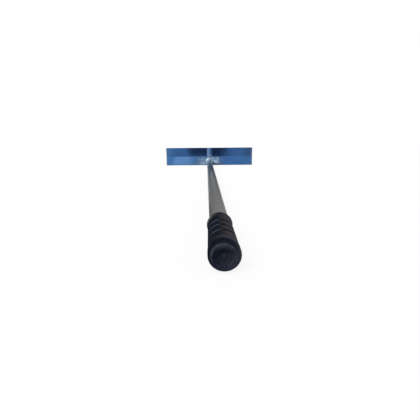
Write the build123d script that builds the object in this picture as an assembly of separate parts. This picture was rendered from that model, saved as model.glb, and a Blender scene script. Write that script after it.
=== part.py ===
from build123d import *
import math
import os

# Concrete rake: a wide folded blade, welded to the end of a long tube with a rubber grip.
# It lies as on the ground: the blade stands on its lower edge, and the grip on its flange.
# +X runs across the blade, +Y from the grip to the blade, +Z up. Millimetres and degrees.

# Blade: one sheet folded along its middle, so that both halves lean towards the user
blade_width = 500.0
facet_height = 50.0
blade_thickness = 3.0
facet_lean = 5.0
fold_inside_radius = 4.0
blade_corner_radius = 2.0

# Handle tube: its length runs along the centre line, from the blade's face to the free end
tube_diameter = 28.0
tube_wall = 2.0
tube_length = 1490.0

# Rib: a strip folded to a V, with its two toes on the blade's upper half
rib_width = 21.0
rib_height = 10.0
rib_thickness = 2.5
rib_inside_radius = 1.0
rib_fold_setback = 1.0
rib_edge_setback = 1.0

# Weld beads
handle_weld_leg = 6.0
handle_weld_rise = 5.0
handle_weld_crown = 0.8
weld_floor_clearance = 0.5
rib_weld_leg = 3.0
rib_weld_crown = 0.4
rib_weld_end_gap = 2.0
foot_weld_length = 8.0
foot_weld_tip_width = 12.0
foot_weld_tip_height = 2.5

# Grip: a rubber sleeve with a flange at its mouth, narrow grooves, and a knob on its closed end.
# Its body narrows from the knob to the flange. Places along the grip are measured from the closed end.
grip_length = 123.0
grip_end_wall = 8.0
grip_bore_clearance = 0.05
grip_body_diameter = 34.2
grip_neck_diameter = 32.8
grip_flange_diameter = 35.6
grip_flange_thickness = 3.5
grip_flange_edge_radius = 0.6
grip_mouth_edge_radius = 2.7
grip_groove_count = 3
grip_groove_width = 3.0
grip_groove_depth = 1.2
grip_groove_corner_radius = 0.5
grip_first_groove = 41.0
grip_groove_pitch = 22.3
grip_waist_diameter = 32.8
grip_waist_width = 4.0
grip_waist_radius = 3.0
grip_knob_diameter = 34.8
grip_knob_start = 4.2
grip_knob_length = 13.6
grip_knob_edge_radius = 1.2
grip_step_depth = 3.6
grip_step_radius = 1.0
grip_rim_diameter = 26.4
grip_rim_width = 1.6
grip_rim_edge_radius = 0.8
grip_dish_depth = 1.4
grip_bowl_diameter = 18.0
grip_bowl_depth = 4.2
grip_pip_diameter = 2.4
grip_pip_height = 1.0

# Sizes that follow from those above
lean = math.radians(facet_lean)
tube_radius = tube_diameter / 2
axis_height = grip_flange_diameter / 2
fold_height = facet_height * math.cos(lean)
fold_outside_radius = fold_inside_radius + blade_thickness
plate_depth = blade_thickness / math.cos(lean)
fold_crest = plate_depth - fold_outside_radius * (1 / math.cos(lean) - 1)
seat_ahead_of_fold = (fold_height - axis_height) * math.tan(lean)
overall_length = grip_end_wall + tube_length + seat_ahead_of_fold + fold_crest
grip_end_y = -overall_length / 2
tube_end_y = grip_end_y + grip_end_wall
fold_y = overall_length / 2 - fold_crest
seat_y = fold_y - seat_ahead_of_fold

# The blade's two front faces at the fold: X across, Y up the face, Z out towards the user
fold_point = (0, fold_y, fold_height)
upper_face = Plane(fold_point, x_dir=(1, 0, 0), z_dir=(0, -math.cos(lean), -math.sin(lean)))
lower_face = Plane(fold_point, x_dir=(1, 0, 0), z_dir=(0, -math.cos(lean), math.sin(lean)))
# A section across the rib: X across, Y out of the blade's upper half, Z down along it
rib_section = Plane(fold_point, x_dir=(1, 0, 0), z_dir=-upper_face.y_dir)
# A section through the tube's seat: X across, Y out of the blade's lower half
seat_point = (0, seat_y, axis_height)
seat_section = Plane(seat_point, x_dir=(1, 0, 0), z_dir=-lower_face.y_dir)
# A section through the grip's centre line at its end: X along the grip, Y outwards
grip_section = Plane((0, grip_end_y, axis_height), x_dir=(0, 1, 0), z_dir=(1, 0, 0))


def round_corner(profile, corner, radius):
    """The profile with its corner at this point rounded."""
    return fillet(profile.vertices().sort_by_distance(corner)[0], radius)


def crowned(start, end, crown):
    """An arc from start to end that bulges to its right by the crown."""
    along = Vector(end) - Vector(start)
    outwards = Vector(along.Y, -along.X).normalized()
    middle = (Vector(start) + Vector(end)) / 2 + outwards * crown
    return ThreePointArc(start, middle, end)


def make_blade():
    """Folded plate. Its lower edge is dressed flat to stand on, and its upper edge is cut square."""
    foot_y = fold_y - fold_height * math.tan(lean)
    edge_y = fold_y - facet_height * math.sin(lean)
    edge_z = fold_height + facet_height * math.cos(lean)
    front_fold = (fold_y, fold_height)
    back_fold = (fold_y + plate_depth, fold_height)
    outline = Polyline(
        (foot_y, 0),
        front_fold,
        (edge_y, edge_z),
        (edge_y + blade_thickness * math.cos(lean), edge_z + blade_thickness * math.sin(lean)),
        back_fold,
        (foot_y + plate_depth, 0),
        close=True,
    )
    profile = make_face(outline)
    profile = round_corner(profile, front_fold, fold_inside_radius)
    profile = round_corner(profile, back_fold, fold_outside_radius)
    plate = extrude(Plane.YZ * profile, blade_width / 2, both=True)
    ends = plate.faces().sort_by(Axis.X)
    corners = []
    for end in (ends[0], ends[-1]):
        rims = end.edges().sort_by(Axis.Z)
        corners += [rims[0], rims[-1]]
    return fillet(corners, blade_corner_radius)


def make_handle_tube():
    """Round tube. Its far end is mitred to the lean of the blade's lower half."""
    wall = Circle(tube_radius) - Circle(tube_radius - tube_wall)
    free_end = Plane((0, tube_end_y, axis_height), z_dir=(0, 1, 0))
    mitre_allowance = tube_radius * math.tan(lean) + tube_wall
    stock = extrude(free_end * wall, tube_length + mitre_allowance)
    return split(stock, bisect_by=lower_face, keep=Keep.TOP)


def make_handle_weld():
    """Fillet bead round the tube, run out just above the blade's lower edge."""
    toe = (tube_radius + handle_weld_leg, 0)
    top = (tube_radius, handle_weld_rise)
    bead = make_face(
        Curve()
        + [
            Line((0, 0), toe),
            crowned(toe, top, handle_weld_crown),
            Line(top, (0, handle_weld_rise)),
            Line((0, handle_weld_rise), (0, 0)),
        ]
    )
    ring = revolve(seat_section * bead, Axis(seat_point, lower_face.z_dir))
    tube_end = Plane((0, tube_end_y, axis_height), z_dir=(0, 1, 0))
    core = extrude(tube_end * Circle(tube_radius), overall_length)
    return split(ring - core, bisect_by=Plane.XY.offset(weld_floor_clearance), keep=Keep.TOP)


# The rib's outline, seen along the rib, and the slope of its legs
rib_toe = (rib_width / 2, 0)
rib_ridge = (0, rib_height)
rib_slope = math.atan2(rib_height, rib_width / 2)
rib_top = facet_height - rib_edge_setback
rib_length = rib_top - rib_fold_setback


def make_blade_rib():
    """V strip from the fold to the working edge, with its toes cut flush to the blade."""
    inner_toe = (rib_width / 2 - rib_thickness / math.sin(rib_slope), 0)
    inner_ridge = (0, rib_height - rib_thickness / math.cos(rib_slope))
    profile = make_face(
        Polyline(
            rib_toe,
            rib_ridge,
            (-rib_toe[0], 0),
            (-inner_toe[0], 0),
            inner_ridge,
            inner_toe,
            close=True,
        )
    )
    profile = round_corner(profile, rib_ridge, rib_inside_radius + rib_thickness)
    profile = round_corner(profile, inner_ridge, rib_inside_radius)
    return extrude(rib_section.offset(-rib_top) * profile, rib_length)


def make_rib_weld():
    """Bead along the rib's right toe."""
    on_blade = (rib_toe[0] + rib_weld_leg, 0)
    on_leg = (
        rib_toe[0] - rib_weld_leg * math.cos(rib_slope),
        rib_weld_leg * math.sin(rib_slope),
    )
    bead = make_face(
        Curve()
        + [
            Line(rib_toe, on_blade),
            crowned(on_blade, on_leg, rib_weld_crown),
            Line(on_leg, rib_toe),
        ]
    )
    start = rib_section.offset(-(rib_top - rib_weld_end_gap))
    return extrude(start * bead, rib_length - rib_weld_end_gap)


def make_rib_foot_weld(blade):
    """Nose of weld metal that closes the rib's foot and runs down onto the blade's lower half."""
    foot = make_face(Polyline(rib_toe, rib_ridge, (-rib_toe[0], 0), close=True))
    tip = make_face(
        Polyline(
            (foot_weld_tip_width / 2, 0),
            (0, foot_weld_tip_height),
            (-foot_weld_tip_width / 2, 0),
            close=True,
        )
    )
    foot_plane = rib_section.offset(-rib_fold_setback)
    nose = loft([foot_plane * foot, foot_plane.offset(foot_weld_length) * tip])
    return nose - blade


def make_grip():
    """Rubber sleeve, closed at the end, with its bore on the tube."""
    bore_radius = tube_radius + grip_bore_clearance
    knob_radius = grip_knob_diameter / 2
    flange_radius = grip_flange_diameter / 2
    flange_start = grip_length - grip_flange_thickness
    knob_end = grip_knob_start + grip_knob_length
    bowl_middle = (grip_bowl_depth, 0)
    bowl_edge = (grip_dish_depth, grip_bowl_diameter / 2)
    inner_rim = (0, (grip_rim_diameter - grip_rim_width) / 2)
    outer_rim = (0, (grip_rim_diameter + grip_rim_width) / 2)
    step = (grip_step_depth, outer_rim[1])
    waist = (knob_end + grip_waist_width / 2, grip_waist_diameter / 2)
    body_start = (knob_end + grip_waist_width, grip_body_diameter / 2)
    body_end = (flange_start, grip_neck_diameter / 2)
    taper = (body_end[1] - body_start[1]) / (body_end[0] - body_start[0])
    bowl = TangentArc(bowl_middle, bowl_edge, tangent=(0, 1))
    outline = Polyline(
        bowl_edge,
        inner_rim,
        outer_rim,
        step,
        (grip_knob_start, knob_radius),
        (knob_end, knob_radius),
        waist,
        body_start,
        body_end,
        (flange_start, flange_radius),
        (grip_length, flange_radius),
        (grip_length, bore_radius),
        (grip_end_wall, bore_radius),
        (grip_end_wall, 0),
        bowl_middle,
    )
    profile = make_face(bowl + outline)
    profile = round_corner(profile, inner_rim, grip_rim_edge_radius)
    profile = round_corner(profile, outer_rim, grip_rim_edge_radius)
    profile = round_corner(profile, step, grip_step_radius)
    profile = round_corner(profile, (grip_knob_start, knob_radius), grip_knob_edge_radius)
    profile = round_corner(profile, (knob_end, knob_radius), grip_knob_edge_radius)
    profile = round_corner(profile, waist, grip_waist_radius)
    profile = round_corner(profile, (flange_start, flange_radius), grip_flange_edge_radius)
    profile = round_corner(profile, (grip_length, flange_radius), grip_mouth_edge_radius)
    groove = RectangleRounded(grip_groove_width, 2 * grip_groove_depth, grip_groove_corner_radius)
    for turn in range(grip_groove_count):
        along = grip_first_groove + turn * grip_groove_pitch
        profile -= Pos(along, body_start[1] + taper * (along - body_start[0])) * groove
    centre_line = Axis((0, grip_end_y, axis_height), (0, 1, 0))
    sleeve = revolve(grip_section * profile, centre_line)
    pip_plane = Plane((0, grip_end_y + grip_bowl_depth, axis_height), z_dir=(0, -1, 0))
    return sleeve + extrude(pip_plane * Circle(grip_pip_diameter / 2), grip_pip_height)


blade = make_blade()
rib_weld_right = make_rib_weld()
pieces = {
    "blade": blade,
    "blade_rib": make_blade_rib(),
    "handle_tube": make_handle_tube(),
    "handle_weld": make_handle_weld(),
    "rib_weld_left": mirror(rib_weld_right, about=Plane.YZ),
    "rib_weld_right": rib_weld_right,
    "rib_foot_weld": make_rib_foot_weld(blade),
    "grip": make_grip(),
}
os.makedirs("parts", exist_ok=True)
for node, piece in pieces.items():
    export_step(piece, f"parts/{node}.step")
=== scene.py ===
# Concrete rake: a wide folded blade, welded to the end of a long tube with a rubber grip on its other end.
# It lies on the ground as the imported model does. Metres: +X across the blade, +Y from the grip to the
# blade, +Z up.
import math

import bmesh
import bpy
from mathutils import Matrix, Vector


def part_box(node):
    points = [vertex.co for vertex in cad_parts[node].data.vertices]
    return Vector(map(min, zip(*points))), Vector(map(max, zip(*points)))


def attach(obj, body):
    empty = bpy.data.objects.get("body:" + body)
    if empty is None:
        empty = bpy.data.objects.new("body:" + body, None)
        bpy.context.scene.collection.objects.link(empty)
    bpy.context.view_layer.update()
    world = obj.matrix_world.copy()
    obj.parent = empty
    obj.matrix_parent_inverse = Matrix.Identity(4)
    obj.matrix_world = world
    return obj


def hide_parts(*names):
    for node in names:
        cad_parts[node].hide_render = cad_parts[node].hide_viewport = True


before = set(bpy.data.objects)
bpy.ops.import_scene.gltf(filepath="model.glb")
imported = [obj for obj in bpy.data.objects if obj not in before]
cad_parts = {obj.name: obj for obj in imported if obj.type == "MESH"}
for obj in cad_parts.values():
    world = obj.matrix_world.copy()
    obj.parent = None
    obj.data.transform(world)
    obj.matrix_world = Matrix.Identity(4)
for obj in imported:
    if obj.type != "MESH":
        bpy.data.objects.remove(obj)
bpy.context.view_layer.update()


# Blade: aluminium sheet, anodised blue, cut to size and folded once along its middle on a press brake,
# so that both halves lean a little towards the user. Painted shade darkens the upper half round the rib,
# and welding has taken the blue off the lower half round the handle.
mm = 0.001
blade_low, blade_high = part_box("blade")
blade_width = blade_high.x - blade_low.x
blade_thickness = 3 * mm
blade_corner_radius = 2 * mm
blade_edge_rounding = 0.4 * mm
facet_height = 50 * mm
facet_lean = math.radians(5)
fold_inside_radius = 4 * mm
fold_y = blade_low.y + facet_height * math.sin(facet_lean)
fold_z = facet_height * math.cos(facet_lean)
touching = 0.01 * mm
cut_precision = 0.001 * mm
sharp_angle = math.radians(40)
smooth_angle = math.radians(30)


def select(piece, mode, wanted):
    """In edit mode, selects the vertices, edges or faces whose middle is wanted."""
    bpy.ops.mesh.select_mode(type=mode)
    bpy.ops.mesh.select_all(action="DESELECT")
    mesh = bmesh.from_edit_mesh(piece.data)
    items = {"VERT": mesh.verts, "EDGE": mesh.edges, "FACE": mesh.faces}[mode]
    for item in items:
        corners = [item] if mode == "VERT" else item.verts
        middle = sum((corner.co for corner in corners), Vector()) / len(corners)
        item.select_set(wanted(middle))
    mesh.select_flush_mode()
    bmesh.update_edit_mesh(piece.data)


def cut_off(place, towards, hollow=False):
    """Cuts the active piece along a plane, takes away what lies towards this side, and closes the cut.
    A hollow piece is closed between the outer and the inner edge of its cut."""
    bpy.ops.object.mode_set(mode="EDIT")
    bpy.ops.mesh.select_mode(type="EDGE")
    bpy.ops.mesh.select_all(action="SELECT")
    bpy.ops.mesh.bisect(
        plane_co=place, plane_no=towards, use_fill=not hollow, clear_outer=True, threshold=cut_precision
    )
    if hollow:
        bpy.ops.mesh.bridge_edge_loops()
    bpy.ops.object.mode_set(mode="OBJECT")


def modify(piece, kind, **settings):
    """Adds a modifier to the piece and applies it."""
    modifier = piece.modifiers.new(kind.title(), kind)
    for name, value in settings.items():
        setattr(modifier, name, value)
    bpy.ops.object.modifier_apply(modifier=modifier.name)


bpy.ops.object.select_all(action="DESELECT")
bpy.ops.mesh.primitive_plane_add(
    size=blade_width, location=(0, blade_low.y, fold_z), rotation=(math.pi / 2, 0, 0)
)
blade = bpy.context.object
blade.name = "folded_blade"
bpy.ops.object.transform_apply()
bpy.ops.object.mode_set(mode="EDIT")
bpy.ops.transform.resize(
    value=(1, 1, 2 * fold_z / blade_width), center_override=(0, blade_low.y, fold_z)
)
bpy.ops.mesh.subdivide(number_cuts=1)
select(blade, "VERT", lambda p: abs(p.z - fold_z) < touching)
bpy.ops.transform.translate(value=(0, fold_y - blade_low.y, 0))
select(blade, "EDGE", lambda p: abs(p.z - fold_z) < touching)
bpy.ops.mesh.bevel(offset=fold_inside_radius * math.tan(facet_lean), segments=4)
select(
    blade, "VERT",
    lambda p: abs(p.x) > blade_width / 2 - touching and abs(p.z - fold_z) > fold_z - touching,
)
bpy.ops.mesh.bevel(offset=blade_corner_radius, segments=5, affect="VERTICES")
bpy.ops.object.mode_set(mode="OBJECT")
modify(blade, "SOLIDIFY", thickness=blade_thickness, offset=-1, use_even_offset=True)
cut_off(place=(0, 0, 0), towards=(0, 0, -1))
modify(
    blade, "BEVEL", width=blade_edge_rounding, segments=3, limit_method="ANGLE", angle_limit=sharp_angle
)
bpy.ops.object.shade_smooth_by_angle(angle=smooth_angle)


def linear(hex_colour):
    """The linear RGBA of an sRGB hex colour."""
    channels = [int(hex_colour[i:i + 2], 16) / 255 for i in (1, 3, 5)]
    return [c / 12.92 if c <= 0.04045 else ((c + 0.055) / 1.055) ** 2.4 for c in channels] + [1]


def add_node(material, kind, inputs=None, **settings):
    """A new node in the material. An input that is given another node's output is linked to it.
    In a colour mix, input 0 is the share of the second colour, and 6 and 7 are the two colours."""
    node = material.node_tree.nodes.new(kind)
    for name, value in settings.items():
        setattr(node, name, value)
    for name, value in (inputs or {}).items():
        if isinstance(value, bpy.types.NodeSocket):
            material.node_tree.links.new(value, node.inputs[name])
        else:
            node.inputs[name].default_value = value
    return node


def new_material(name):
    """A material with nothing in it yet but the node for its output."""
    material = bpy.data.materials.new(name)
    material.use_nodes = True
    material.node_tree.nodes.clear()
    return material, add_node(material, "ShaderNodeOutputMaterial")


# Anodised aluminium: a clear dyed skin on rolled metal. It gives a satin blue, with faint lines along the
# sheet where it was rolled, and broad soft changes of shade. The lines are drawn about five times as
# wide as real ones, so that they show.
rolled_line_length = 80 * mm
rolled_line_width = 1.5 * mm
shade_patch = 55 * mm
anodised, surface = new_material("blue_anodised_aluminium")
coords = add_node(anodised, "ShaderNodeTexCoord").outputs
place = add_node(anodised, "ShaderNodeSeparateXYZ", {"Vector": coords["Object"]}).outputs
facing = add_node(anodised, "ShaderNodeSeparateXYZ", {"Vector": coords["Normal"]}).outputs
along_sheet = add_node(anodised, "ShaderNodeMapping", {
    "Vector": coords["Object"],
    "Scale": (1 / rolled_line_length, 1 / rolled_line_width, 1 / rolled_line_width),
}).outputs[0]
lines = add_node(anodised, "ShaderNodeTexNoise", {
    "Vector": along_sheet, "Scale": 1, "Detail": 3,
}).outputs[0]
shades = add_node(anodised, "ShaderNodeTexNoise", {
    "Vector": coords["Object"], "Scale": 1 / shade_patch, "Detail": 3,
}).outputs[0]
upper_half = add_node(anodised, "ShaderNodeMapRange", {
    "Value": place["Z"], "From Min": fold_z - 1 * mm, "From Max": fold_z + 1 * mm,
}).outputs[0]
front = add_node(anodised, "ShaderNodeMapRange", {
    "Value": facing["Y"], "From Min": -0.3, "From Max": -0.7,
}).outputs[0]
# A painted highlight makes the lower half paler from about 200 to 90 mm left of the middle
waver = add_node(anodised, "ShaderNodeMath", {
    0: shades, 1: 30 * mm, 2: place["X"],
}, operation="MULTIPLY_ADD").outputs[0]
slant = add_node(anodised, "ShaderNodeMath", {
    0: place["Z"], 1: -0.35, 2: waver,
}, operation="MULTIPLY_ADD").outputs[0]
pale_from = add_node(anodised, "ShaderNodeMapRange", {
    "Value": slant, "From Min": -222 * mm, "From Max": -186 * mm,
}, interpolation_type="SMOOTHSTEP").outputs[0]
pale_to = add_node(anodised, "ShaderNodeMapRange", {
    "Value": waver, "From Min": -58 * mm, "From Max": -115 * mm,
}).outputs[0]
pale_highlight = add_node(anodised, "ShaderNodeMath", {0: pale_from, 1: pale_to}, operation="MULTIPLY").outputs[0]
pale_highlight = add_node(anodised, "ShaderNodeMath", {0: pale_highlight, 1: front}, operation="MULTIPLY").outputs[0]
lower_blue = add_node(anodised, "ShaderNodeMix", {
    0: pale_highlight, 6: linear("#39649A"), 7: linear("#5882B5"),
}, data_type="RGBA").outputs[2]
# The upper half is a darker blue, as painted shade
blue = add_node(anodised, "ShaderNodeMix", {
    0: upper_half, 6: lower_blue, 7: linear("#335A8C"),
}, data_type="RGBA").outputs[2]
# The left end is brighter, the upper half is duller at its right end, and both ends are rubbed grey
left_end = add_node(anodised, "ShaderNodeMapRange", {
    "Value": waver, "From Min": -180 * mm, "From Max": -225 * mm, "To Max": 0.8,
}).outputs[0]
blue = add_node(anodised, "ShaderNodeMix", {
    0: left_end, 6: blue, 7: linear("#4070A6"),
}, data_type="RGBA").outputs[2]
right_end = add_node(anodised, "ShaderNodeMapRange", {
    "Value": place["X"], "From Min": 192 * mm, "From Max": 212 * mm, "To Max": 0.55,
}).outputs[0]
right_end = add_node(anodised, "ShaderNodeMath", {
    0: right_end, 1: upper_half,
}, operation="MULTIPLY").outputs[0]
blue = add_node(anodised, "ShaderNodeMix", {
    0: right_end, 6: blue, 7: linear("#2F4468"),
}, data_type="RGBA").outputs[2]
to_end = add_node(anodised, "ShaderNodeMath", {0: place["X"]}, operation="ABSOLUTE").outputs[0]
rubbed_ends = add_node(anodised, "ShaderNodeMapRange", {
    "Value": to_end, "From Min": blade_width / 2 - 15 * mm, "From Max": blade_width / 2, "To Max": 0.7,
}).outputs[0]
blue = add_node(anodised, "ShaderNodeMix", {
    0: rubbed_ends, 6: blue, 7: linear("#5E7898"),
}, data_type="RGBA").outputs[2]
# Painted shade, standing in for dark reflections: the upper half is darkened to about 130 mm each side
# of the rib, most on the right, and less close to the fold
off_middle = add_node(anodised, "ShaderNodeMath", {0: place["X"], 1: 12 * mm}, operation="ADD").outputs[0]
off_middle = add_node(anodised, "ShaderNodeMath", {0: off_middle}, operation="ABSOLUTE").outputs[0]
off_middle = add_node(anodised, "ShaderNodeMath", {
    0: shades, 1: 60 * mm, 2: off_middle,
}, operation="MULTIPLY_ADD").outputs[0]
painted_shade = add_node(anodised, "ShaderNodeMapRange", {
    "Value": off_middle, "From Min": 167 * mm, "From Max": 96 * mm,
}, interpolation_type="SMOOTHSTEP").outputs[0]
shade_right = add_node(anodised, "ShaderNodeMapRange", {
    "Value": place["X"], "From Min": 0, "From Max": 25 * mm,
}).outputs[0]
fold_shade = add_node(anodised, "ShaderNodeMapRange", {
    "Value": shade_right, "To Min": 0.6, "To Max": 0.82,
}).outputs[0]
near_fold = add_node(anodised, "ShaderNodeMapRange", {
    "Value": place["Z"], "From Min": fold_z, "From Max": fold_z + 22 * mm, "To Min": fold_shade,
}).outputs[0]
painted_shade = add_node(anodised, "ShaderNodeMath", {0: painted_shade, 1: near_fold}, operation="MULTIPLY").outputs[0]
painted_shade = add_node(anodised, "ShaderNodeMath", {0: painted_shade, 1: upper_half}, operation="MULTIPLY").outputs[0]
painted_shade = add_node(anodised, "ShaderNodeMath", {0: painted_shade, 1: front}, operation="MULTIPLY").outputs[0]
shade_colour = add_node(anodised, "ShaderNodeMix", {
    0: shade_right, 6: linear("#0F274A"), 7: linear("#062043"),
}, data_type="RGBA").outputs[2]
blue = add_node(anodised, "ShaderNodeMix", {0: painted_shade, 6: blue, 7: shade_colour}, data_type="RGBA").outputs[2]
# Round the handle the blue was brushed off for welding, in a ragged patch of streaks and bright flecks
axis_z = sum(corner.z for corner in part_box("handle_tube")) / 2
patch_middle_x = -4.64 * mm
patch_half_width = 58 * mm
patch_half_height = 60 * mm
brush_streak = 14 * mm
brush_width = 7 * mm
brush_slant = math.radians(20)
streaks_at = add_node(anodised, "ShaderNodeMapping", {
    "Vector": coords["Object"], "Rotation": (0, brush_slant, 0),
    "Scale": (1 / brush_streak, 1 / brush_width, 1 / brush_width),
}).outputs[0]
streaks = add_node(anodised, "ShaderNodeTexNoise", {
    "Vector": streaks_at, "Scale": 1, "Detail": 5, "Roughness": 0.6,
}).outputs[0]
to_patch = add_node(anodised, "ShaderNodeMapping", {
    "Vector": coords["Object"],
    "Location": (-patch_middle_x / patch_half_width, 0, -axis_z / patch_half_height),
    "Scale": (1 / patch_half_width, 0, 1 / patch_half_height),
}).outputs[0]
from_handle = add_node(anodised, "ShaderNodeVectorMath", {0: to_patch}, operation="LENGTH").outputs["Value"]
from_handle = add_node(anodised, "ShaderNodeMath", {
    0: streaks, 1: 1.4, 2: from_handle,
}, operation="MULTIPLY_ADD").outputs[0]
bare = add_node(anodised, "ShaderNodeMapRange", {
    "Value": from_handle, "From Min": 1.95, "From Max": 1.35,
}, interpolation_type="SMOOTHSTEP").outputs[0]
scorched = add_node(anodised, "ShaderNodeMapRange", {
    "Value": from_handle, "From Min": 2.4, "From Max": 1.8, "To Max": 0.85,
}, interpolation_type="SMOOTHSTEP").outputs[0]
below_fold = add_node(anodised, "ShaderNodeMapRange", {
    "Value": place["Z"], "From Min": fold_z, "From Max": fold_z - 4 * mm,
}).outputs[0]
lower_front = add_node(anodised, "ShaderNodeMath", {
    0: below_fold, 1: front,
}, operation="MULTIPLY").outputs[0]
bare = add_node(anodised, "ShaderNodeMath", {0: bare, 1: lower_front}, operation="MULTIPLY").outputs[0]
scorched = add_node(anodised, "ShaderNodeMath", {
    0: scorched, 1: lower_front,
}, operation="MULTIPLY").outputs[0]
blue = add_node(anodised, "ShaderNodeMix", {
    0: scorched, 6: blue, 7: linear("#4C6788"),
}, data_type="RGBA").outputs[2]
fleck_amount = add_node(anodised, "ShaderNodeMapRange", {
    "Value": streaks, "From Min": 0.6, "From Max": 0.38,
}).outputs[0]
bare_metal = add_node(anodised, "ShaderNodeMix", {
    0: fleck_amount, 6: linear("#5A7796"), 7: linear("#84A1BC"),
}, data_type="RGBA").outputs[2]
colour = add_node(anodised, "ShaderNodeMix", {0: bare, 6: blue, 7: bare_metal}, data_type="RGBA").outputs[2]
# Marks in and round the patch, in this order: blue left over at the upper left, brushed spots at the lower
# left and beside the rib's foot, a painted highlight at the upper left of the handle, two bright strokes on
# the right, painted shade along the lower edge, and the tube's painted shadow under those strokes. Each is
# given by its place across and up the blade, its turn in degrees, its half sizes, its strength and its
# colour
for spot, turn, half_length, half_width, amount, shade in (
    ((-42 * mm, 42 * mm), 0, 50 * mm, 12 * mm, 0.6, "#4C6A90"),
    ((-36 * mm, 12 * mm), 0, 40 * mm, 14 * mm, 0.6, "#8CA8C6"),
    ((12 * mm, 36 * mm), 0, 20 * mm, 12 * mm, 0.65, "#92ACC4"),
    ((-12 * mm, 33 * mm), 45, 22 * mm, 9 * mm, 0.85, "#DDF0FC"),
    ((33 * mm, 21 * mm), -22, 28 * mm, 8 * mm, 0.85, "#A3BACE"),
    ((48 * mm, 28 * mm), 90, 28 * mm, 6 * mm, 0.65, "#A3BACE"),
    ((12 * mm, 2 * mm), 0, 120 * mm, 8 * mm, 0.6, "#33435A"),
    ((23 * mm, 13 * mm), -55, 24 * mm, 8 * mm, 0.9, "#2A384E"),
    ((42 * mm, 4 * mm), -5, 32 * mm, 8 * mm, 0.95, "#1E2A3C"),
):
    to_spot = add_node(anodised, "ShaderNodeVectorMath", {
        0: coords["Object"], 1: (spot[0], 0, spot[1]),
    }, operation="SUBTRACT").outputs[0]
    to_spot = add_node(anodised, "ShaderNodeMapping", {
        "Vector": to_spot, "Rotation": (0, math.radians(turn), 0),
    }).outputs[0]
    to_spot = add_node(anodised, "ShaderNodeVectorMath", {
        0: to_spot, 1: (1 / half_length, 0, 1 / half_width),
    }, operation="MULTIPLY").outputs[0]
    from_spot = add_node(anodised, "ShaderNodeVectorMath", {0: to_spot}, operation="LENGTH").outputs["Value"]
    from_spot = add_node(anodised, "ShaderNodeMath", {
        0: streaks, 1: 1.2, 2: from_spot,
    }, operation="MULTIPLY_ADD").outputs[0]
    mark = add_node(anodised, "ShaderNodeMapRange", {
        "Value": from_spot, "From Min": 1.6, "From Max": 0.8, "To Max": amount,
    }, interpolation_type="SMOOTHSTEP").outputs[0]
    mark = add_node(anodised, "ShaderNodeMath", {0: mark, 1: lower_front}, operation="MULTIPLY").outputs[0]
    colour = add_node(anodised, "ShaderNodeMix", {
        0: mark, 6: colour, 7: linear(shade),
    }, data_type="RGBA").outputs[2]
# The lower edge is rubbed grey by the ground, and this band is also painted shade where the blade meets the
# floor
above_ground = add_node(anodised, "ShaderNodeMath", {
    0: lines, 1: -12 * mm, 2: place["Z"],
}, operation="MULTIPLY_ADD").outputs[0]
rubbed_and_shaded_edge = add_node(anodised, "ShaderNodeMapRange", {
    "Value": above_ground, "From Min": 1 * mm, "From Max": -5 * mm, "To Max": 0.6,
}).outputs[0]
colour = add_node(anodised, "ShaderNodeMix", {
    0: rubbed_and_shaded_edge, 6: colour, 7: linear("#4C6380"),
}, data_type="RGBA").outputs[2]
tone = add_node(anodised, "ShaderNodeMapRange", {"Value": shades, "To Min": 0.82, "To Max": 1.18}).outputs[0]
line_tone = add_node(anodised, "ShaderNodeMapRange", {
    "Value": lines, "To Min": 0.85, "To Max": 1.15,
}).outputs[0]
tone = add_node(anodised, "ShaderNodeMath", {0: tone, 1: line_tone}, operation="MULTIPLY").outputs[0]
colour = add_node(anodised, "ShaderNodeVectorMath", {0: colour, "Scale": tone}, operation="SCALE").outputs[0]
shine = add_node(anodised, "ShaderNodeMapRange", {"Value": lines, "To Min": 0.3, "To Max": 0.46}).outputs[0]
relief = add_node(anodised, "ShaderNodeBump", {
    "Height": lines, "Strength": 0.2, "Distance": 0.05 * mm,
}).outputs[0]
finish = add_node(anodised, "ShaderNodeBsdfPrincipled", {
    "Base Color": colour, "Metallic": 0.85, "Roughness": shine, "Normal": relief,
}).outputs[0]
anodised.node_tree.links.new(finish, surface.inputs["Surface"])
blade.data.materials.append(anodised)
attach(blade, "root")
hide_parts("blade")


# Rib: aluminium strip bent to a V and stood on the blade's upper half, from the fold to the working edge.
# It keeps the thin blade from bending where the handle pushes on it, and it is blue like the blade.
rib_width = 21 * mm
rib_height = 10 * mm
rib_thickness = 2.5 * mm
rib_ridge_radius = 3.5 * mm
rib_setback = 1 * mm
rib_length = facet_height - 2 * rib_setback
rib_slope = math.atan2(rib_height, rib_width / 2)
rib_middle = facet_height / 2
rib_edge_rounding = 0.3 * mm

bpy.ops.object.select_all(action="DESELECT")
bpy.ops.mesh.primitive_plane_add(size=rib_length, location=(0, 0, rib_middle), rotation=(math.pi / 2, 0, 0))
rib = bpy.context.object
rib.name = "v_rib"
bpy.ops.object.transform_apply()
bpy.ops.object.mode_set(mode="EDIT")
bpy.ops.transform.resize(value=(rib_width / rib_length, 1, 1), center_override=(0, 0, rib_middle))
bpy.ops.mesh.subdivide(number_cuts=1)
select(rib, "VERT", lambda p: abs(p.x) < touching)
bpy.ops.transform.translate(value=(0, -rib_height, 0))
select(rib, "EDGE", lambda p: abs(p.x) < touching and p.y < touching - rib_height)
bpy.ops.mesh.bevel(offset=rib_ridge_radius * math.tan(rib_slope), segments=8)
bpy.ops.object.mode_set(mode="OBJECT")
modify(rib, "SOLIDIFY", thickness=rib_thickness, offset=-1, use_even_offset=True)
cut_off(place=(0, 0, 0), towards=(0, 1, 0))
modify(rib, "BEVEL", width=rib_edge_rounding, segments=2, limit_method="ANGLE", angle_limit=sharp_angle)
rib.rotation_euler.x = facet_lean
rib.location = (0, fold_y, fold_z)
bpy.ops.object.transform_apply()
bpy.ops.object.shade_smooth_by_angle(angle=smooth_angle)
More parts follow.
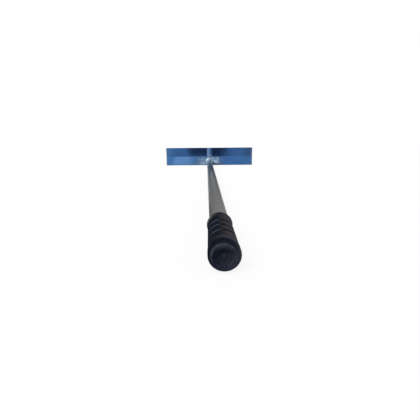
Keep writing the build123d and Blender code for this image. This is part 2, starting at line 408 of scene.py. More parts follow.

# Anodised strip: the same blue as the blade, made paler by painted light, with lines along the strip and
# small marks from bending and welding
strip_line_length = 30 * mm
strip_line_width = 0.8 * mm
handling_mark = 5 * mm
rib_blue, surface = new_material("pale_blue_anodised_aluminium")
coords = add_node(rib_blue, "ShaderNodeTexCoord").outputs["Object"]
along_strip = add_node(rib_blue, "ShaderNodeMapping", {
    "Vector": coords, "Scale": (1 / strip_line_width, 1 / strip_line_width, 1 / strip_line_length),
}).outputs[0]
lines = add_node(rib_blue, "ShaderNodeTexNoise", {"Vector": along_strip, "Scale": 1, "Detail": 3}).outputs[0]
marks = add_node(rib_blue, "ShaderNodeTexNoise", {
    "Vector": coords, "Scale": 1 / handling_mark, "Detail": 4,
}).outputs[0]
colour = add_node(rib_blue, "ShaderNodeMix", {
    0: lines, 6: linear("#5A80AC"), 7: linear("#7096C2"),
}, data_type="RGBA").outputs[2]
marked = add_node(rib_blue, "ShaderNodeMapRange", {
    "Value": marks, "From Min": 0.5, "From Max": 0.7, "To Max": 0.6,
}).outputs[0]
colour = add_node(rib_blue, "ShaderNodeMix", {
    0: marked, 6: colour, 7: linear("#8CA8C4"),
}, data_type="RGBA").outputs[2]
# Painted shade darkens the rib's right side
place = add_node(rib_blue, "ShaderNodeSeparateXYZ", {"Vector": coords}).outputs
painted_shade = add_node(rib_blue, "ShaderNodeMapRange", {
    "Value": place["X"], "From Min": -6 * mm, "From Max": 5 * mm, "To Max": 0.72,
}).outputs[0]
colour = add_node(rib_blue, "ShaderNodeMix", {
    0: painted_shade, 6: colour, 7: linear("#2E4B72"),
}, data_type="RGBA").outputs[2]
# Its foot was brushed for the weld, and is paler
brushed = add_node(rib_blue, "ShaderNodeMapRange", {
    "Value": place["Z"], "From Min": fold_z + 18 * mm, "From Max": fold_z - 6 * mm, "To Max": 0.75,
}).outputs[0]
colour = add_node(rib_blue, "ShaderNodeMix", {
    0: brushed, 6: colour, 7: linear("#8AA8C8"),
}, data_type="RGBA").outputs[2]
shine = add_node(rib_blue, "ShaderNodeMapRange", {"Value": marks, "To Min": 0.28, "To Max": 0.48}).outputs[0]
relief = add_node(rib_blue, "ShaderNodeBump", {
    "Height": lines, "Strength": 0.2, "Distance": 0.05 * mm,
}).outputs[0]
finish = add_node(rib_blue, "ShaderNodeBsdfPrincipled", {
    "Base Color": colour, "Metallic": 0.3, "Roughness": shine, "Normal": relief,
    "Specular IOR Level": 0.2,
}).outputs[0]
rib_blue.node_tree.links.new(finish, surface.inputs["Surface"])
rib.data.materials.append(rib_blue)
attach(rib, "root")
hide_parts("blade_rib")


# Rib welds: a bead of aluminium filler along each toe of the rib, and a nose that closes its foot. Each is
# a row of overlapping ripples, one for each dip of the filler rod.
rib_bead_pitch = 2 * mm
rib_bead_half_sizes = Vector((2.7, 1.9, 2.1)) * mm
rib_bead_offset = 0.3 * mm
rib_bead_end_gap = 2 * mm
rib_bead_grid = 0.3 * mm
foot_length = 8 * mm
foot_ripples = 5
foot_ripple_half_length = 2.2 * mm
foot_half_widths = (10.5 * mm, 6 * mm)
foot_heights = (9.5 * mm, 2.4 * mm)
foot_grid = 0.35 * mm
bead_smooth_angle = math.radians(50)
up_upper = Vector((0, -math.sin(facet_lean), math.cos(facet_lean)))
off_upper = Vector((0, -math.cos(facet_lean), -math.sin(facet_lean)))
fold = Vector((0, fold_y, fold_z))
inside_plate = Vector((0, fold_y + blade_thickness / 2, fold_z))


def lay_bead(name, node, ripples, grid):
    """A weld bead: a flattened ball for each ripple, all fused together on a grid of this size.
    A ripple is its place, its turn and its half sizes."""
    bpy.ops.object.select_all(action="DESELECT")
    for spot, turn, half_sizes in ripples:
        bpy.ops.mesh.primitive_uv_sphere_add(
            segments=20, ring_count=10, radius=1, location=spot, rotation=turn, scale=half_sizes
        )
        if bpy.context.mode == "OBJECT":
            bead = bpy.context.object
            bpy.ops.object.transform_apply()
            bpy.ops.object.mode_set(mode="EDIT")
    bpy.ops.object.mode_set(mode="OBJECT")
    bead.name = name
    modify(bead, "REMESH", mode="VOXEL", voxel_size=grid)
    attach(bead, "root")
    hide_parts(node)
    return bead


rib_beads = []
for side, node in ((-1, "rib_weld_left"), (1, "rib_weld_right")):
    ripples = []
    for dip in range(round((rib_length - rib_bead_end_gap) / rib_bead_pitch)):
        swell = 1 + 0.06 * math.sin(dip * 2.1 + side)
        spot = fold + up_upper * (rib_setback + (dip + 0.5) * rib_bead_pitch) + off_upper * rib_bead_offset
        spot.x = side * (rib_width / 2 + rib_bead_offset)
        ripples.append((spot, (facet_lean, 0, 0), rib_bead_half_sizes * swell))
    bead = lay_bead(f"{node}_bead", node, ripples, rib_bead_grid)
    cut_off(place=inside_plate, towards=-off_upper)
    rib_beads.append(bead)
ripples = []
for dip in range(foot_ripples):
    share = dip / (foot_ripples - 1)
    half_width = foot_half_widths[0] + (foot_half_widths[1] - foot_half_widths[0]) * share
    height = foot_heights[0] + (foot_heights[1] - foot_heights[0]) * share
    spot = fold + up_upper * (rib_setback - foot_length * share)
    ripples.append((spot, (facet_lean, 0, 0), (half_width, height, foot_ripple_half_length)))
bead = lay_bead("rib_foot_weld_bead", "rib_foot_weld", ripples, foot_grid)
cut_off(place=inside_plate, towards=(0, 1, 0))
rib_beads.append(bead)
for bead in rib_beads:
    bpy.ops.object.select_all(action="DESELECT")
    bead.select_set(True)
    bpy.context.view_layer.objects.active = bead
    bpy.ops.object.shade_smooth_by_angle(angle=bead_smooth_angle)
    bead.data.materials.append(rib_blue)


# Handle tube: drawn aluminium tube, mitred to the lean of the blade's lower half. Handling and weather
# have left it a dull grey.
tube_low, tube_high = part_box("handle_tube")
tube_radius = (tube_high.x - tube_low.x) / 2
tube_wall = 2 * mm
seat = Vector((0, fold_y - (fold_z - axis_z) * math.tan(facet_lean), axis_z))
off_lower = Vector((0, -math.cos(facet_lean), math.sin(facet_lean)))

bpy.ops.object.select_all(action="DESELECT")
bpy.ops.mesh.primitive_cylinder_add(
    vertices=96, radius=tube_radius, depth=tube_high.y - tube_low.y, end_fill_type="NOTHING",
    location=(0, (tube_low.y + tube_high.y) / 2, axis_z), rotation=(math.pi / 2, 0, 0),
)
tube = bpy.context.object
tube.name = "drawn_tube"
bpy.ops.object.transform_apply()
modify(tube, "SOLIDIFY", thickness=tube_wall, offset=-1, use_even_offset=True)
cut_off(place=seat, towards=-off_lower, hollow=True)
bpy.ops.object.shade_smooth_by_angle(angle=smooth_angle)

# Weathered aluminium: a dull oxide skin over drawn metal. It is grey, with long fine lines from the die
# and cloudy stains, and still shines where it is seen along its length. The lines are drawn about five
# times as wide as real ones, so that they show.
drawn_line_length = 300 * mm
drawn_line_width = 1.5 * mm
stain_size = 30 * mm
weathered, surface = new_material("weathered_aluminium")
coords = add_node(weathered, "ShaderNodeTexCoord").outputs["Object"]
along_tube = add_node(weathered, "ShaderNodeMapping", {
    "Vector": coords, "Scale": (1 / drawn_line_width, 1 / drawn_line_length, 1 / drawn_line_width),
}).outputs[0]
lines = add_node(weathered, "ShaderNodeTexNoise", {"Vector": along_tube, "Scale": 1, "Detail": 3}).outputs[0]
stains = add_node(weathered, "ShaderNodeTexNoise", {
    "Vector": coords, "Scale": 1 / stain_size, "Detail": 5, "Roughness": 0.6,
}).outputs[0]
grey = add_node(weathered, "ShaderNodeMix", {
    0: lines, 6: linear("#6C6C6B"), 7: linear("#949492"),
}, data_type="RGBA").outputs[2]
stained = add_node(weathered, "ShaderNodeMapRange", {
    "Value": stains, "From Min": 0.45, "From Max": 0.7, "To Max": 0.7,
}).outputs[0]
grey = add_node(weathered, "ShaderNodeMix", {
    0: stained, 6: grey, 7: linear("#606367"),
}, data_type="RGBA").outputs[2]
# Hands have rubbed it brighter towards the grip, and painted light makes its right side brighter still
place = add_node(weathered, "ShaderNodeSeparateXYZ", {"Vector": coords}).outputs
handled_and_lit = add_node(weathered, "ShaderNodeMapRange", {
    "Value": place["Y"], "From Min": -200 * mm, "From Max": tube_low.y + 130 * mm,
}).outputs[0]
lit_right_side = add_node(weathered, "ShaderNodeMapRange", {
    "Value": place["X"], "From Min": -tube_radius, "From Max": tube_radius, "To Min": 0.2,
}).outputs[0]
handled_and_lit = add_node(weathered, "ShaderNodeMath", {0: handled_and_lit, 1: lit_right_side}, operation="MULTIPLY").outputs[0]
grey = add_node(weathered, "ShaderNodeMix", {
    0: handled_and_lit, 6: grey, 7: linear("#AAA9A5"),
}, data_type="RGBA").outputs[2]
# Towards the blade a painted reflection of the blue blade makes it bluer and darker, with a pale blue
# painted reflection in its sheen at the end. Painted light makes its left side paler there, and painted
# shade darkens its upper right and takes the shine off it. Each of the two has a side, a lowest height in
# tube radii from the axis, a strength and a colour
near_blade = add_node(weathered, "ShaderNodeMapRange", {
    "Value": place["Y"], "From Min": -200 * mm, "From Max": 120 * mm,
}).outputs[0]
blade_reflection_tint = add_node(weathered, "ShaderNodeMath", {0: near_blade, 1: 0.45}, operation="MULTIPLY").outputs[0]
grey = add_node(weathered, "ShaderNodeMix", {
    0: blade_reflection_tint, 6: grey, 7: linear("#4A6082"),
}, data_type="RGBA").outputs[2]
sheen = add_node(weathered, "ShaderNodeMix", {
    0: near_blade, 6: linear("#84868A"), 7: linear("#263E62"),
}, data_type="RGBA").outputs[2]
near_weld = add_node(weathered, "ShaderNodeMapRange", {
    "Value": place["Y"], "From Min": 200 * mm, "From Max": 600 * mm,
}).outputs[0]
sheen = add_node(weathered, "ShaderNodeMix", {
    0: near_weld, 6: sheen, 7: linear("#90B4E4"),
}, data_type="RGBA").outputs[2]
for side, lowest, amount, shade in ((-1, -1.5, 0.7, "#A6B2BA"), (1, -0.4, 1, "#5A5D62")):
    on_side = add_node(weathered, "ShaderNodeMapRange", {
        "Value": place["X"], "From Min": 0.2 * side * tube_radius, "From Max": side * tube_radius,
        "To Max": amount,
    }).outputs[0]
    above = add_node(weathered, "ShaderNodeMapRange", {
        "Value": place["Z"], "From Min": axis_z + lowest * tube_radius,
        "From Max": axis_z + (lowest + 0.5) * tube_radius,
    }).outputs[0]
    painted_light_and_shade = add_node(weathered, "ShaderNodeMath", {
        0: on_side, 1: near_blade,
    }, operation="MULTIPLY").outputs[0]
    painted_light_and_shade = add_node(weathered, "ShaderNodeMath", {0: painted_light_and_shade, 1: above}, operation="MULTIPLY").outputs[0]
    grey = add_node(weathered, "ShaderNodeMix", {
        0: painted_light_and_shade, 6: grey, 7: linear(shade),
    }, data_type="RGBA").outputs[2]
darkening = painted_light_and_shade
sheen = add_node(weathered, "ShaderNodeMix", {
    0: darkening, 6: sheen, 7: linear("#050608"),
}, data_type="RGBA").outputs[2]
# Along its left edge near the grip it is darker and less metallic
on_edge = add_node(weathered, "ShaderNodeMapRange", {
    "Value": place["X"], "From Min": -0.5 * tube_radius, "From Max": -0.95 * tube_radius,
}).outputs[0]
near_grip = add_node(weathered, "ShaderNodeMapRange", {
    "Value": place["Y"], "From Min": tube_low.y + 350 * mm, "From Max": tube_low.y + 200 * mm,
}).outputs[0]
dark_left_edge = add_node(weathered, "ShaderNodeMath", {0: on_edge, 1: near_grip}, operation="MULTIPLY").outputs[0]
grey = add_node(weathered, "ShaderNodeMix", {
    0: dark_left_edge, 6: grey, 7: linear("#4E4A48"),
}, data_type="RGBA").outputs[2]
metal = add_node(weathered, "ShaderNodeMapRange", {"Value": dark_left_edge, "To Min": 0.72, "To Max": 0.2}).outputs[0]
# Painted light and shade: its upper side is lighter and its underside darker
painted_top_light = add_node(weathered, "ShaderNodeMapRange", {
    "Value": place["Z"], "From Min": axis_z - tube_radius, "From Max": axis_z + tube_radius,
    "To Min": 0.7, "To Max": 1.1,
}).outputs[0]
grey = add_node(weathered, "ShaderNodeVectorMath", {
    0: grey, "Scale": painted_top_light,
}, operation="SCALE").outputs[0]
# Towards the blade, where no hand has dulled it, it is smooth enough to mirror the weld
shine = add_node(weathered, "ShaderNodeMapRange", {
    "Value": place["Y"], "From Min": -250 * mm, "From Max": 100 * mm, "To Min": 0.3, "To Max": 0.14,
}).outputs[0]
dulled = add_node(weathered, "ShaderNodeMapRange", {
    "Value": stains, "To Min": 0.8, "To Max": 1.2,
}).outputs[0]
shine = add_node(weathered, "ShaderNodeMath", {0: shine, 1: dulled}, operation="MULTIPLY").outputs[0]
round_tube = add_node(weathered, "ShaderNodeTangent", direction_type="RADIAL", axis="Y").outputs[0]
relief = add_node(weathered, "ShaderNodeBump", {
    "Height": lines, "Strength": 0.2, "Distance": 0.05 * mm,
}).outputs[0]
finish = add_node(weathered, "ShaderNodeBsdfPrincipled", {
    "Base Color": grey, "Metallic": metal, "Roughness": shine, "Normal": relief, "Specular IOR Level": 0,
    "Specular Tint": sheen, "Anisotropic": 0.85, "Tangent": round_tube,
}).outputs[0]
weathered.node_tree.links.new(finish, surface.inputs["Surface"])
tube.data.materials.append(weathered)
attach(tube, "root")
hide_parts("handle_tube")


# Handle weld: a fillet of aluminium filler all round the tube, left as it was laid, bright and rippled.
# It stops just above the blade's lower edge.
weld_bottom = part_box("handle_weld")[0].z
bead_pitch = 2.6 * mm
bead_offset = 2 * mm
bead_lift = 0.8 * mm
bead_half_sizes = Vector((3.6, 4.0, 2.8)) * mm
bead_grid = 0.4 * mm
bead_count = round(math.tau * (tube_radius + bead_offset) / bead_pitch)
up_lower = Vector((0, math.sin(facet_lean), math.cos(facet_lean)))

ripples = []
for dip in range(bead_count):
    angle = math.tau * dip / bead_count
    outwards = Vector((math.cos(angle), 0, 0)) + up_lower * math.sin(angle)
    swell = 1 + 0.07 * math.sin(5 * angle) + 0.05 * math.sin(dip * 2.4)
    spot = seat + outwards * (tube_radius + bead_offset) + off_lower * bead_lift
    turn = (-facet_lean, -angle, 0)
    ripples.append((spot, turn, bead_half_sizes * swell))
handle_weld = lay_bead("handle_weld_bead", "handle_weld", ripples, bead_grid)
cut_off(place=(0, 0, weld_bottom), towards=(0, 0, -1))
cut_off(place=seat - off_lower * blade_thickness / 2, towards=-off_lower, hollow=True)
bpy.ops.object.shade_smooth_by_angle(angle=bead_smooth_angle)

# Aluminium filler, as laid: bright and silvery on the ripples, with specks of grey soot beside them
soot_speck = 3 * mm
weld_metal, surface = new_material("aluminium_weld")
coords = add_node(weld_metal, "ShaderNodeTexCoord").outputs["Object"]
specks = add_node(weld_metal, "ShaderNodeTexNoise", {
    "Vector": coords, "Scale": 1 / soot_speck, "Detail": 4, "Roughness": 0.6,
}).outputs[0]
darkening = add_node(weld_metal, "ShaderNodeMapRange", {
    "Value": specks, "From Min": 0.5, "From Max": 0.68, "To Max": 0.8,
}).outputs[0]
colour = add_node(weld_metal, "ShaderNodeMix", {
    0: darkening, 6: linear("#A3B6C4"), 7: linear("#6C7C8C"),
}, data_type="RGBA").outputs[2]
# A painted highlight makes it brightest at the upper left
highlight_spot = (-10 * mm, seat.y, axis_z + 17 * mm)
from_highlight = add_node(weld_metal, "ShaderNodeVectorMath", {
    0: coords, 1: highlight_spot,
}, operation="DISTANCE").outputs["Value"]
weld_highlight = add_node(weld_metal, "ShaderNodeMapRange", {
    "Value": from_highlight, "From Min": 10 * mm, "From Max": 4 * mm,
}, interpolation_type="SMOOTHSTEP").outputs[0]
colour = add_node(weld_metal, "ShaderNodeMix", {
    0: weld_highlight, 6: colour, 7: linear("#C2DAEA"),
}, data_type="RGBA").outputs[2]
shine = add_node(weld_metal, "ShaderNodeMapRange", {
    "Value": specks, "To Min": 0.2, "To Max": 0.5,
}).outputs[0]
relief = add_node(weld_metal, "ShaderNodeBump", {
    "Height": specks, "Strength": 0.3, "Distance": 0.2 * mm,
}).outputs[0]
finish = add_node(weld_metal, "ShaderNodeBsdfPrincipled", {
    "Base Color": colour, "Metallic": 1, "Roughness": shine, "Normal": relief,
}).outputs[0]
weld_metal.node_tree.links.new(finish, surface.inputs["Surface"])
handle_weld.data.materials.append(weld_metal)


# Grip: black rubber, moulded in one piece and pushed over the tube's end. It has a flange at its mouth,
# three narrow grooves, and a knob on its closed end with a rim round a shallow bowl.
grip_low, grip_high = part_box("grip")
flange_radius = (grip_high.x - grip_low.x) / 2
grip_length = grip_high.y - grip_low.y
body_start = 21.8 * mm
body_end = grip_length - 3.5 * mm
body_radius = 17.1 * mm
neck_radius = 16.4 * mm
knob_radius = 17.4 * mm
waist_radius = 16.4 * mm
groove_width = 3 * mm
groove_depth = 1.2 * mm
first_groove = 41 * mm
groove_pitch = 22.3 * mm
groove_count = 3
bore_depth = 8 * mm
bowl_depth = 4.2 * mm
pip_radius = 1.2 * mm
pip_height = 1 * mm
grip_smooth_angle = math.radians(35)

# The outline from the middle of the bowl to the bore: how far from the end, how far from the centre
# line, and how far each corner is rounded along its sides
outline = [
    (bowl_depth - pip_height, 0, 0),
    (bowl_depth - pip_height, pip_radius, 0.5 * mm),
    (bowl_depth, pip_radius + 0.2 * mm, 0),
    (bowl_depth, 4.8 * mm, 3.3 * mm),
    (1.4 * mm, 9 * mm, 0.6 * mm),
    (0, 12.4 * mm, 0.6 * mm),
    (0, 14 * mm, 0.8 * mm),
    (3.6 * mm, 14 * mm, 1 * mm),
    (4.2 * mm, knob_radius, 1.3 * mm),
    (17.8 * mm, knob_radius, 0.5 * mm),
    (19.8 * mm, waist_radius, 1.2 * mm),
    (body_start, body_radius, 0.6 * mm),
]
for groove in range(groove_count):
    middle = first_groove + groove * groove_pitch
    near = middle - groove_width / 2
    far = middle + groove_width / 2
    skin = body_radius + (neck_radius - body_radius) * (middle - body_start) / (body_end - body_start)
    outline += [
        (near, skin, 0.5 * mm),
        (near, skin - groove_depth, 0.4 * mm),
        (far, skin - groove_depth, 0.4 * mm),
        (far, skin, 0.7 * mm),
    ]
outline += [
    (body_end, neck_radius, 0.3 * mm),
    (body_end, flange_radius, 0.6 * mm),
    (grip_length, flange_radius, 2.7 * mm),
    (grip_length, tube_radius, 0),
    (bore_depth, tube_radius, 0),
    (bore_depth, 0, 0),
]

bpy.ops.object.select_all(action="DESELECT")
bpy.ops.mesh.primitive_plane_add(size=1 * mm, location=(0, grip_low.y + outline[0][0], axis_z))
grip = bpy.context.object
grip.name = "rubber_grip"
bpy.ops.object.transform_apply()
bpy.ops.object.mode_set(mode="EDIT")
bpy.ops.mesh.select_mode(type="VERT")
bpy.ops.mesh.select_all(action="SELECT")
bpy.ops.mesh.merge(type="CENTER")
for here, there in zip(outline, outline[1:]):
    step = (0, there[0] - here[0], there[1] - here[1])
    bpy.ops.mesh.extrude_vertices_move(TRANSFORM_OT_translate={"value": step})
for along, across, rounding in outline:
    if rounding:
        corner = Vector((0, grip_low.y + along, axis_z + across))
        select(grip, "VERT", lambda p: (p - corner).length < touching)
        bpy.ops.mesh.bevel(offset=rounding, segments=5, affect="VERTICES")
bpy.ops.mesh.select_all(action="SELECT")
bpy.ops.mesh.spin(steps=128, angle=math.tau, center=(0, 0, axis_z), axis=(0, 1, 0))
bpy.ops.mesh.select_all(action="SELECT")
bpy.ops.mesh.remove_doubles(threshold=touching)
bpy.ops.mesh.normals_make_consistent(inside=False)
bpy.ops.object.mode_set(mode="OBJECT")
bpy.ops.object.shade_smooth_by_angle(angle=grip_smooth_angle)

# Moulded rubber: carbon black, so a matt bluish black with the fine grain of the mould. Painted light makes
# it greyer on the right-hand side, in the waist and on the end, and a painted highlight lies on the far side
# of each groove. The grain is drawn about four times as coarse as it is, so that it shows.
mould_grain = 0.8 * mm
dust_patch = 9 * mm
end_noise_size = 3 * mm
rubber, surface = new_material("moulded_rubber")
coords = add_node(rubber, "ShaderNodeTexCoord").outputs["Object"]
place = add_node(rubber, "ShaderNodeSeparateXYZ", {"Vector": coords}).outputs
grain = add_node(rubber, "ShaderNodeTexNoise", {
    "Vector": coords, "Scale": 1 / mould_grain, "Detail": 2,
}).outputs[0]
patches = add_node(rubber, "ShaderNodeTexNoise", {
    "Vector": coords, "Scale": 1 / dust_patch, "Detail": 4, "Roughness": 0.6,
}).outputs[0]
uneven = add_node(rubber, "ShaderNodeMapRange", {
    "Value": patches, "From Min": 0.35, "From Max": 0.65, "To Min": 0.55,
}).outputs[0]
black = add_node(rubber, "ShaderNodeMix", {
    0: patches, 6: linear("#080C14"), 7: linear("#121722"),
}, data_type="RGBA").outputs[2]
from_end = add_node(rubber, "ShaderNodeMath", {
    0: place["Y"], 1: grip_low.y,
}, operation="SUBTRACT").outputs[0]
# Painted light: greyer on the right-hand side, most past the knob
lit_right_side = add_node(rubber, "ShaderNodeMapRange", {
    "Value": place["X"], "From Min": -8 * mm, "From Max": 14 * mm, "To Max": 0.9,
}, interpolation_type="SMOOTHSTEP").outputs[0]
past_knob = add_node(rubber, "ShaderNodeMapRange", {
    "Value": from_end, "From Min": 6 * mm, "From Max": 24 * mm, "To Min": 0.12,
}).outputs[0]
lit_right_side = add_node(rubber, "ShaderNodeMath", {
    0: lit_right_side, 1: past_knob,
}, operation="MULTIPLY").outputs[0]
colour = add_node(rubber, "ShaderNodeMix", {
    0: lit_right_side, 6: black, 7: linear("#464246"),
}, data_type="RGBA").outputs[2]
# Painted light on the knob's right edge
lit_knob_edge = add_node(rubber, "ShaderNodeMapRange", {
    "Value": place["X"], "From Min": 9 * mm, "From Max": 16 * mm, "To Max": 0.5,
}, interpolation_type="SMOOTHSTEP").outputs[0]
on_knob = add_node(rubber, "ShaderNodeMapRange", {
    "Value": from_end, "From Min": 3 * mm, "From Max": 7 * mm, "To Min": 0.3,
}).outputs[0]
lit_knob_edge = add_node(rubber, "ShaderNodeMath", {0: lit_knob_edge, 1: on_knob}, operation="MULTIPLY").outputs[0]
colour = add_node(rubber, "ShaderNodeMix", {
    0: lit_knob_edge, 6: colour, 7: linear("#454049"),
}, data_type="RGBA").outputs[2]
# Painted highlight: a soft band on the knob's shoulder, widest on the right
off_shoulder = add_node(rubber, "ShaderNodeMath", {
    0: place["X"], 1: 0.3, 2: from_end,
}, operation="MULTIPLY_ADD").outputs[0]
off_shoulder = add_node(rubber, "ShaderNodeMath", {
    0: off_shoulder, 1: 15.5 * mm,
}, operation="SUBTRACT").outputs[0]
off_shoulder = add_node(rubber, "ShaderNodeMath", {0: off_shoulder}, operation="ABSOLUTE").outputs[0]
shoulder_highlight = add_node(rubber, "ShaderNodeMapRange", {
    "Value": off_shoulder, "From Min": 9 * mm, "From Max": 3 * mm,
}, interpolation_type="SMOOTHSTEP").outputs[0]
brighter_right = add_node(rubber, "ShaderNodeMapRange", {
    "Value": place["X"], "From Min": -14 * mm, "From Max": 13 * mm, "To Min": 0.05, "To Max": 0.5,
}).outputs[0]
shoulder_highlight = add_node(rubber, "ShaderNodeMath", {0: shoulder_highlight, 1: brighter_right}, operation="MULTIPLY").outputs[0]
colour = add_node(rubber, "ShaderNodeMix", {
    0: shoulder_highlight, 6: colour, 7: linear("#50535C"),
}, data_type="RGBA").outputs[2]
# Painted shade darkens each groove, most towards the end, and its far wall has a painted highlight on the
# left and stays black on the right
to_groove = add_node(rubber, "ShaderNodeMath", {
    0: from_end, 1: first_groove,
}, operation="SUBTRACT").outputs[0]
to_groove = add_node(rubber, "ShaderNodeMath", {
    0: to_groove, 1: groove_pitch / 2, 2: -groove_pitch / 2,
}, operation="WRAP").outputs[0]
among_grooves = add_node(rubber, "ShaderNodeMath", {
    0: from_end, 1: first_groove + (groove_count - 1) / 2 * groove_pitch, 2: groove_count / 2 * groove_pitch,
}, operation="COMPARE").outputs[0]
far_half = add_node(rubber, "ShaderNodeMapRange", {
    "Value": to_groove, "From Min": -0.4 * mm, "From Max": 0.4 * mm,
}).outputs[0]
far_wall = add_node(rubber, "ShaderNodeMapRange", {
    "Value": to_groove, "From Min": 2.2 * mm, "From Max": 1.5 * mm,
}).outputs[0]
near_edge = add_node(rubber, "ShaderNodeMapRange", {
    "Value": to_groove, "From Min": -6 * mm, "From Max": -1.5 * mm,
}).outputs[0]
shade = add_node(rubber, "ShaderNodeMath", {0: near_edge, 1: far_wall}, operation="MULTIPLY").outputs[0]
shade = add_node(rubber, "ShaderNodeMath", {0: shade, 1: among_grooves}, operation="MULTIPLY").outputs[0]
colour = add_node(rubber, "ShaderNodeMix", {
    0: shade, 6: colour, 7: linear("#05070D"),
}, data_type="RGBA").outputs[2]
left_side = add_node(rubber, "ShaderNodeMapRange", {
    "Value": place["X"], "From Min": 1 * mm, "From Max": -6 * mm, "To Max": 0.85,
}).outputs[0]
off_left_edge = add_node(rubber, "ShaderNodeMapRange", {
    "Value": place["X"], "From Min": -16 * mm, "From Max": -9 * mm, "To Min": 0.15,
}).outputs[0]
groove_highlight = add_node(rubber, "ShaderNodeMath", {0: far_half, 1: far_wall}, operation="MULTIPLY").outputs[0]
for share in (among_grooves, left_side, off_left_edge, uneven):
    groove_highlight = add_node(rubber, "ShaderNodeMath", {0: groove_highlight, 1: share}, operation="MULTIPLY").outputs[0]
colour = add_node(rubber, "ShaderNodeMix", {
    0: groove_highlight, 6: colour, 7: linear("#6C7686"),
}, data_type="RGBA").outputs[2]
# A painted highlight lies on the left of the flange too, and fades out along the body
flange_highlight = add_node(rubber, "ShaderNodeMapRange", {
    "Value": from_end, "From Min": grip_length - 14 * mm, "From Max": grip_length - 2 * mm,
}).outputs[0]
flange_left = add_node(rubber, "ShaderNodeMapRange", {
    "Value": place["X"], "From Min": -2 * mm, "From Max": -14 * mm, "To Max": 1.1,
}).outputs[0]
for share in (flange_left, uneven):
    flange_highlight = add_node(rubber, "ShaderNodeMath", {
        0: flange_highlight, 1: share,
    }, operation="MULTIPLY").outputs[0]
colour = add_node(rubber, "ShaderNodeMix", {
    0: flange_highlight, 6: colour, 7: linear("#686A66"),
}, data_type="RGBA").outputs[2]
# Painted light on the end: on its rim, most at the upper left and the lower right, on the dish at the top,
# low in the bowl and on the pip
to_rim = add_node(rubber, "ShaderNodeMapping", {
    "Vector": coords, "Location": (0.9 * mm, 0, -axis_z - 0.1 * mm), "Scale": (1, 0, 1),
}).outputs[0]
from_middle = add_node(rubber, "ShaderNodeVectorMath", {0: to_rim}, operation="LENGTH").outputs["Value"]
on_top = add_node(rubber, "ShaderNodeMapRange", {
    "Value": place["Z"], "From Min": axis_z - 8 * mm, "From Max": axis_z + 12 * mm,
}).outputs[0]
to_lower_right = add_node(rubber, "ShaderNodeVectorMath", {
    0: to_rim, 1: (0.5, 0, -0.87),
}, operation="DOT_PRODUCT").outputs["Value"]
end_highlight = add_node(rubber, "ShaderNodeMapRange", {
    "Value": to_lower_right, "From Min": -3 * mm, "From Max": 12 * mm, "To Min": 0.07, "To Max": 0.4,
}).outputs[0]
upper_left = add_node(rubber, "ShaderNodeMapRange", {
    "Value": to_lower_right, "From Min": 2 * mm, "From Max": -9 * mm,
}).outputs[0]
for ring_radius, half_width, strongest, amount, most in (
    (13.0 * mm, 1.7 * mm, upper_left, 0.26, 0.64),
    (10.4 * mm, 2.4 * mm, on_top, -0.5, 0.42),
    (0, 2.4 * mm, on_top, 0.5, 0.5),
):
    off_ring = add_node(rubber, "ShaderNodeMath", {
        0: from_middle, 1: ring_radius,
    }, operation="SUBTRACT").outputs[0]
    off_ring = add_node(rubber, "ShaderNodeMath", {0: off_ring}, operation="ABSOLUTE").outputs[0]
    ring = add_node(rubber, "ShaderNodeMapRange", {
        "Value": off_ring, "From Min": half_width, "From Max": 0.3 * half_width,
    }, interpolation_type="SMOOTHSTEP").outputs[0]
    ring_amount = add_node(rubber, "ShaderNodeMapRange", {
        "Value": strongest, "To Min": amount, "To Max": most,
    }).outputs[0]
    ring = add_node(rubber, "ShaderNodeMath", {0: ring, 1: ring_amount}, operation="MULTIPLY").outputs[0]
    end_highlight = add_node(rubber, "ShaderNodeMath", {0: end_highlight, 1: ring}, operation="MAXIMUM").outputs[0]
on_end = add_node(rubber, "ShaderNodeMath", {
    0: from_end, 1: bowl_depth + touching,
}, operation="LESS_THAN").outputs[0]
end_noise = add_node(rubber, "ShaderNodeTexNoise", {
    "Vector": coords, "Scale": 1 / end_noise_size, "Detail": 4, "Roughness": 0.65,
}).outputs[0]
end_unevenness = add_node(rubber, "ShaderNodeMapRange", {
    "Value": end_noise, "From Min": 0.35, "From Max": 0.65, "To Min": 0.5, "To Max": 1.3,
}).outputs[0]
for share in (on_end, end_unevenness):
    end_highlight = add_node(rubber, "ShaderNodeMath", {0: end_highlight, 1: share}, operation="MULTIPLY").outputs[0]
end_light_colour = add_node(rubber, "ShaderNodeMix", {
    0: on_top, 6: linear("#3E4352"), 7: linear("#444B54"),
}, data_type="RGBA").outputs[2]
colour = add_node(rubber, "ShaderNodeMix", {
    0: end_highlight, 6: colour, 7: end_light_colour,
}, data_type="RGBA").outputs[2]
grain_tone = add_node(rubber, "ShaderNodeMapRange", {
    "Value": grain, "From Min": 0.3, "From Max": 0.7, "To Min": 0.7, "To Max": 1.3,
}).outputs[0]
colour = add_node(rubber, "ShaderNodeVectorMath", {
    0: colour, "Scale": grain_tone,
}, operation="SCALE").outputs[0]
shine = add_node(rubber, "ShaderNodeMapRange", {"Value": patches, "To Min": 0.6, "To Max": 0.85}).outputs[0]
relief = add_node(rubber, "ShaderNodeBump", {
    "Height": grain, "Strength": 0.3, "Distance": 0.1 * mm,
}).outputs[0]
finish = add_node(rubber, "ShaderNodeBsdfPrincipled", {
    "Base Color": colour, "Roughness": shine, "Normal": relief, "Specular IOR Level": 0.006,
}).outputs[0]
rubber.node_tree.links.new(finish, surface.inputs["Surface"])
grip.data.materials.append(rubber)
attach(grip, "root")
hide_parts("grip")


# Floor and light: a pale studio floor, a soft lamp from the left behind the grip, and an even white room.
# Camera, mirror and glass rays see floor and room as white, and the floor still takes a soft shadow.
floor_size = 60
floor_glow = 0.88
room_light = 0.66
lamp_from = Vector((-0.42, -0.55, 0.72))

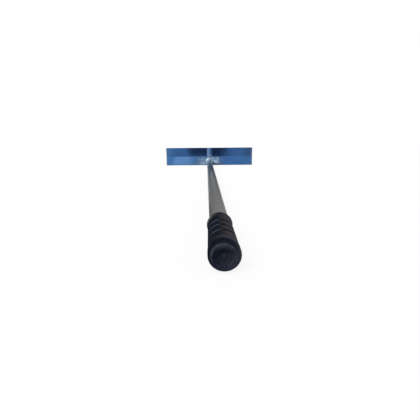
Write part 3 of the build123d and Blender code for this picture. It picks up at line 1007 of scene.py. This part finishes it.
bpy.ops.object.select_all(action="DESELECT")
bpy.ops.mesh.primitive_plane_add(size=floor_size)
floor = bpy.context.object
floor.name = "studio_floor"
pale, surface = new_material("pale_floor_paint")
rays = add_node(pale, "ShaderNodeLightPath").outputs
seen = add_node(
    pale, "ShaderNodeMath", {0: rays["Is Camera Ray"], 1: rays["Is Glossy Ray"]}, operation="MAXIMUM"
).outputs[0]
seen = add_node(
    pale, "ShaderNodeMath", {0: seen, 1: rays["Is Transmission Ray"]}, operation="MAXIMUM"
).outputs[0]
lift = add_node(pale, "ShaderNodeMath", {0: seen, 1: floor_glow}, operation="MULTIPLY").outputs[0]
paint = add_node(pale, "ShaderNodeBsdfDiffuse", {"Color": linear("#FFFFFF")}).outputs[0]
white = add_node(pale, "ShaderNodeEmission", {"Strength": 1.0}).outputs[0]
finish = add_node(pale, "ShaderNodeMixShader", {0: lift, 1: paint, 2: white}).outputs[0]
pale.node_tree.links.new(finish, surface.inputs["Surface"])
floor.data.materials.append(pale)

lamp = bpy.data.lights.new("soft_lamp", "SUN")
lamp.energy = 1.4
lamp.angle = math.radians(35)
lamp_object = bpy.data.objects.new("soft_lamp", lamp)
lamp_object.rotation_euler = lamp_from.to_track_quat("Z", "Y").to_euler()
bpy.context.scene.collection.objects.link(lamp_object)

room = bpy.data.worlds.new("white_room")
room.use_nodes = True
bpy.context.scene.world = room
rays = add_node(room, "ShaderNodeLightPath").outputs
seen = add_node(
    room, "ShaderNodeMath", {0: rays["Is Camera Ray"], 1: rays["Is Glossy Ray"]}, operation="MAXIMUM"
).outputs[0]
seen = add_node(
    room, "ShaderNodeMath", {0: seen, 1: rays["Is Transmission Ray"]}, operation="MAXIMUM"
).outputs[0]
strength = add_node(room, "ShaderNodeMapRange", {"Value": seen, "To Min": room_light}).outputs[0]
background = room.node_tree.nodes["Background"]
background.inputs["Color"].default_value = linear("#FFFFFF")
room.node_tree.links.new(strength, background.inputs["Strength"])


# Camera: close behind the grip's end and a little above it, looking along the tube to the blade
camera = bpy.data.cameras.new("camera")
camera.sensor_width = 36
camera.lens = 25.714
camera.clip_start = 0.01
camera.clip_end = 200
camera_object = bpy.data.objects.new("camera", camera)
camera_object.location = (-0.01741, -1.0303, 0.12826)
camera_object.rotation_euler = [math.radians(turn) for turn in (77.357, 0.436, -0.703)]
bpy.context.scene.collection.objects.link(camera_object)
bpy.context.scene.camera = camera_object
bpy.context.scene.view_settings.view_transform = "Standard"
